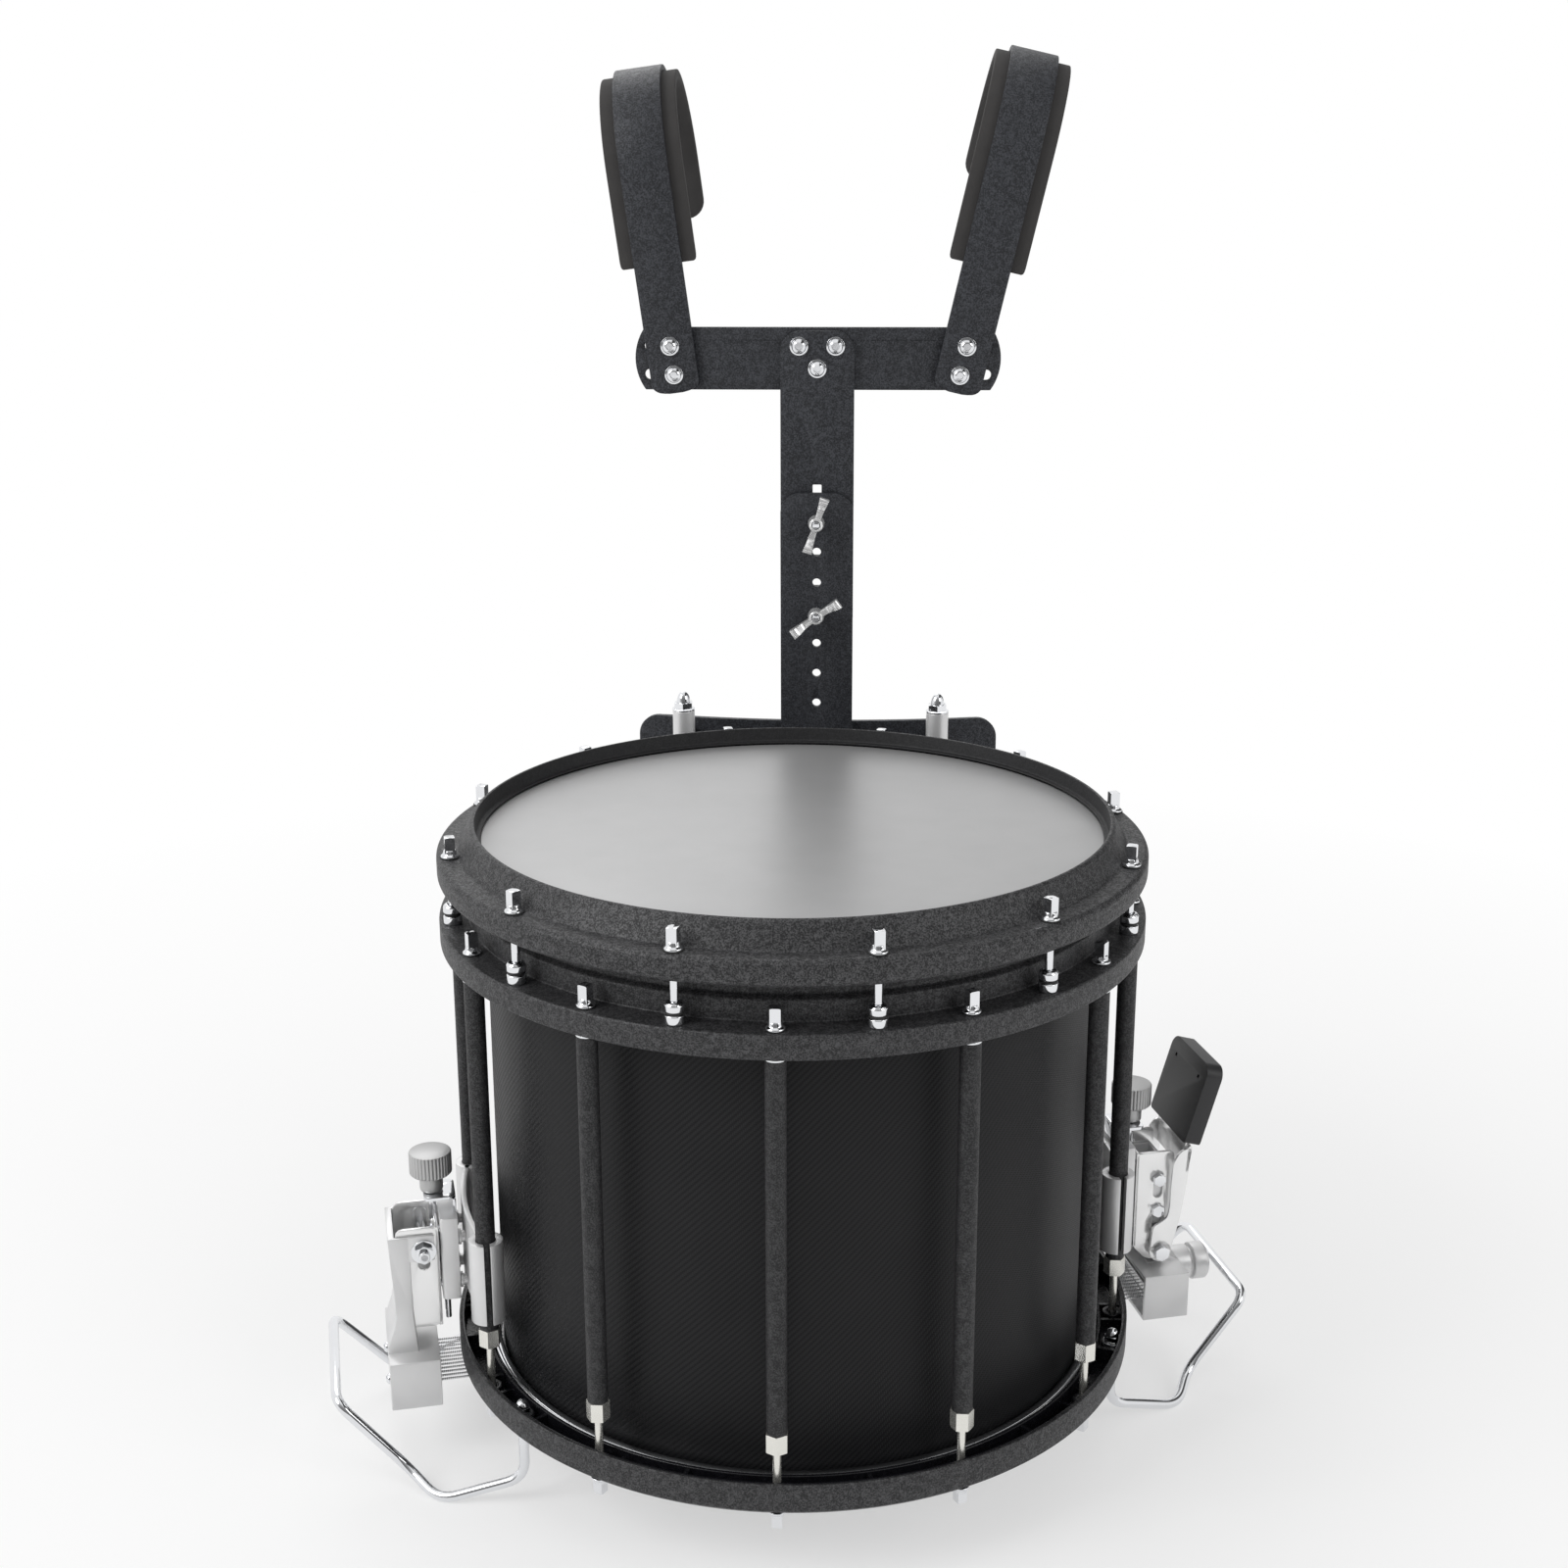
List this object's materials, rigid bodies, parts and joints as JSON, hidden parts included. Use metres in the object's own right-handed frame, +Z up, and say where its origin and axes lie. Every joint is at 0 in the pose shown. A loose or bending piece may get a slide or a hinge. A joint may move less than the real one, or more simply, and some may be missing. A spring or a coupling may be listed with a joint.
{
  "type": "marching snare drum",
  "caption": "Marching snare drum in a free-floating rod and ring frame, with snare strainer, wire guards and a shoulder-worn carrier of flat bars with foam pads.",
  "frame": {"origin": "on the floor, at the middle of the footprint of the whole part; the wire guards' lowest bends touch the floor", "axes": "+Z up along the drum's axis, +Y from the drum towards the player and the carrier, +X towards the throw-off lever's side"},
  "size_m": [0.5618, 0.5776, 0.8063],
  "materials": {
    "carbon_shell": "woven carbon look under clear gloss",
    "silver_head": "satin silver film",
    "hoop_coat": "black hammered powder coat",
    "edge_ring_coat": "black hammered powder coat",
    "snare_head_metal": "bright metal hoop, clear film",
    "snare_ring_coat": "gloss black coat",
    "bracket_metal": "satin",
    "slide_block_metal": "satin",
    "carriage_metal": "polished",
    "knob_metal": "satin, ridged",
    "snare_box_metal": "satin",
    "lever_metal": "polished",
    "grip_plastic": "moulded black",
    "fastener_chrome": "polished",
    "strand_steel": "drawn wire",
    "guard_chrome": "polished",
    "carrier_coat": "black hammered powder coat",
    "pad_foam": "charcoal foam",
    "rod_chrome": "polished",
    "lug_tube_coat": "black hammered powder coat with bright ends"
  },
  "bodies": {
    "drum": {"shell": "carbon_shell", "batter_head": "silver_head", "batter_hoop": "hoop_coat", "edge_ring": "edge_ring_coat", "snare_side_head": "snare_head_metal", "snare_ring": "snare_ring_coat", "lug_tube_01": "lug_tube_coat", "lug_tube_02": "lug_tube_coat", "lug_tube_03": "lug_tube_coat", "lug_tube_04": "lug_tube_coat", "lug_tube_05": "lug_tube_coat", "lug_tube_06": "lug_tube_coat", "lug_tube_07": "lug_tube_coat", "lug_tube_08": "lug_tube_coat", "lug_tube_09": "lug_tube_coat", "lug_tube_10": "lug_tube_coat", "lug_tube_11": "lug_tube_coat", "lug_tube_12": "lug_tube_coat", "butt_bracket": "bracket_metal", "butt_body": "slide_block_metal", "strainer_bracket": "bracket_metal", "strainer_body": "slide_block_metal", "snare_strands": "strand_steel", "guard_left": "guard_chrome", "guard_right": "guard_chrome", "cross_bar": "carrier_coat", "upper_spine": "carrier_coat", "lower_spine": "carrier_coat", "belly_plate": "carrier_coat", "belly_pad": "pad_foam"},
    "rod_01": {"batter_rod_01": "rod_chrome"},
    "rod_02": {"batter_rod_02": "rod_chrome"},
    "rod_03": {"batter_rod_03": "rod_chrome"},
    "rod_04": {"batter_rod_04": "rod_chrome"},
    "rod_05": {"batter_rod_05": "rod_chrome"},
    "rod_06": {"batter_rod_06": "rod_chrome"},
    "rod_07": {"batter_rod_07": "rod_chrome"},
    "rod_08": {"batter_rod_08": "rod_chrome"},
    "rod_09": {"batter_rod_09": "rod_chrome"},
    "rod_10": {"batter_rod_10": "rod_chrome"},
    "rod_11": {"batter_rod_11": "rod_chrome"},
    "rod_12": {"batter_rod_12": "rod_chrome"},
    "butt_height_knob": {"butt_knob": "knob_metal"},
    "butt_slide": {"butt_carriage": "carriage_metal", "butt_snare_box": "snare_box_metal"},
    "strainer_height_knob": {"strainer_knob": "knob_metal"},
    "strainer_slide": {"strainer_carriage": "carriage_metal", "lever_pin": "fastener_chrome"},
    "lever": {"throw_lever": "lever_metal", "lever_grip": "grip_plastic"},
    "dropping_box": {"strainer_snare_box": "snare_box_metal"},
    "tension_dial": {"tension_knob": "knob_metal"},
    "wing_lower": {"wing_nut_lower": "fastener_chrome"},
    "wing_upper": {"wing_nut_upper": "fastener_chrome"},
    "shoulder_left": {"shoulder_bar_left": "carrier_coat", "shoulder_pad_left": "pad_foam"},
    "shoulder_right": {"shoulder_bar_right": "carrier_coat", "shoulder_pad_right": "pad_foam"},
    "hook_left": {"hook_rod_left": "fastener_chrome"},
    "hook_right": {"hook_rod_right": "fastener_chrome"}
  },
  "joints": [
    {"name": "rod_turn_01", "type": "hinge", "parent": "drum", "child": "rod_01", "pos_m": [0.05094, -0.27459, 0.36081], "axis": [0, 0, 1], "continuous": true},
    {"name": "rod_turn_02", "type": "hinge", "parent": "drum", "child": "rod_02", "pos_m": [0.13916, -0.22366, 0.36081], "axis": [0, 0, 1], "continuous": true},
    {"name": "rod_turn_03", "type": "hinge", "parent": "drum", "child": "rod_03", "pos_m": [0.19009, -0.13544, 0.36081], "axis": [0, 0, 1], "continuous": true},
    {"name": "rod_turn_04", "type": "hinge", "parent": "drum", "child": "rod_04", "pos_m": [0.19009, -0.03356, 0.36081], "axis": [0, 0, 1], "continuous": true},
    {"name": "rod_turn_05", "type": "hinge", "parent": "drum", "child": "rod_05", "pos_m": [0.13916, 0.05466, 0.36081], "axis": [0, 0, 1], "continuous": true},
    {"name": "rod_turn_06", "type": "hinge", "parent": "drum", "child": "rod_06", "pos_m": [0.05094, 0.10559, 0.36081], "axis": [0, 0, 1], "continuous": true},
    {"name": "rod_turn_07", "type": "hinge", "parent": "drum", "child": "rod_07", "pos_m": [-0.05094, 0.10559, 0.36081], "axis": [0, 0, 1], "continuous": true},
    {"name": "rod_turn_08", "type": "hinge", "parent": "drum", "child": "rod_08", "pos_m": [-0.13916, 0.05466, 0.36081], "axis": [0, 0, 1], "continuous": true},
    {"name": "rod_turn_09", "type": "hinge", "parent": "drum", "child": "rod_09", "pos_m": [-0.19009, -0.03356, 0.36081], "axis": [0, 0, 1], "continuous": true},
    {"name": "rod_turn_10", "type": "hinge", "parent": "drum", "child": "rod_10", "pos_m": [-0.19009, -0.13544, 0.36081], "axis": [0, 0, 1], "continuous": true},
    {"name": "rod_turn_11", "type": "hinge", "parent": "drum", "child": "rod_11", "pos_m": [-0.13916, -0.22366, 0.36081], "axis": [0, 0, 1], "continuous": true},
    {"name": "rod_turn_12", "type": "hinge", "parent": "drum", "child": "rod_12", "pos_m": [-0.05094, -0.27459, 0.36081], "axis": [0, 0, 1], "continuous": true},
    {"name": "butt_knob_turn", "type": "hinge", "parent": "drum", "child": "butt_height_knob", "pos_m": [-0.20941, -0.14061, 0.15781], "axis": [0, 0, 1], "range_deg": [-1080, 1080]},
    {"name": "butt_height", "type": "slide", "parent": "drum", "child": "butt_slide", "axis": [0, 0, 1], "range_m": [-0.003, 0.003], "deforming": ["snare_strands"]},
    {"name": "strainer_knob_turn", "type": "hinge", "parent": "drum", "child": "strainer_height_knob", "pos_m": [0.20941, -0.02839, 0.15781], "axis": [0, 0, 1], "range_deg": [-1080, 1080]},
    {"name": "strainer_height", "type": "slide", "parent": "drum", "child": "strainer_slide", "axis": [0, 0, 1], "range_m": [-0.003, 0.003], "deforming": ["snare_strands"]},
    {"name": "lever_swing", "type": "hinge", "parent": "strainer_slide", "child": "lever", "pos_m": [0.22332, -0.02466, 0.07701], "axis": [-0.2588, 0.9659, 0], "range_deg": [0, 80]},
    {"name": "snare_drop", "type": "slide", "parent": "strainer_slide", "child": "dropping_box", "axis": [0, 0, -1], "range_m": [0, 0.01], "deforming": ["snare_strands"]},
    {"name": "tension_turn", "type": "hinge", "parent": "dropping_box", "child": "tension_dial", "pos_m": [0.24341, -0.01928, 0.05381], "axis": [0.9659, 0.2588, 0], "continuous": true},
    {"name": "wing_lower_turn", "type": "hinge", "parent": "drum", "child": "wing_lower", "pos_m": [0.0063, 0.1485, 0.44121], "axis": [0, 1, 0], "continuous": true},
    {"name": "wing_upper_turn", "type": "hinge", "parent": "drum", "child": "wing_upper", "pos_m": [0.0063, 0.1485, 0.50361], "axis": [0, 1, 0], "continuous": true},
    {"name": "shoulder_left_slide", "type": "slide", "parent": "drum", "child": "shoulder_left", "axis": [-1, 0, 0], "range_m": [-0.008, 0.008]},
    {"name": "shoulder_right_slide", "type": "slide", "parent": "drum", "child": "shoulder_right", "axis": [1, 0, 0], "range_m": [-0.008, 0.008]},
    {"name": "hook_left_swivel", "type": "hinge", "parent": "drum", "child": "hook_left", "pos_m": [-0.082, 0.1255, 0.38081], "axis": [0, 0, 1], "range_deg": [0, 90]},
    {"name": "hook_right_swivel", "type": "hinge", "parent": "drum", "child": "hook_right", "pos_m": [0.088, 0.1255, 0.38081], "axis": [0, 0, -1], "range_deg": [0, 90]}
  ],
  "couplings": [
    {"joint": "butt_knob_turn", "follows": "butt_height", "rad_per_m": 6283},
    {"joint": "strainer_knob_turn", "follows": "strainer_height", "rad_per_m": 6283},
    {"joint": "snare_drop", "follows": "lever_swing", "m_per_rad": 0.00716}
  ]
}
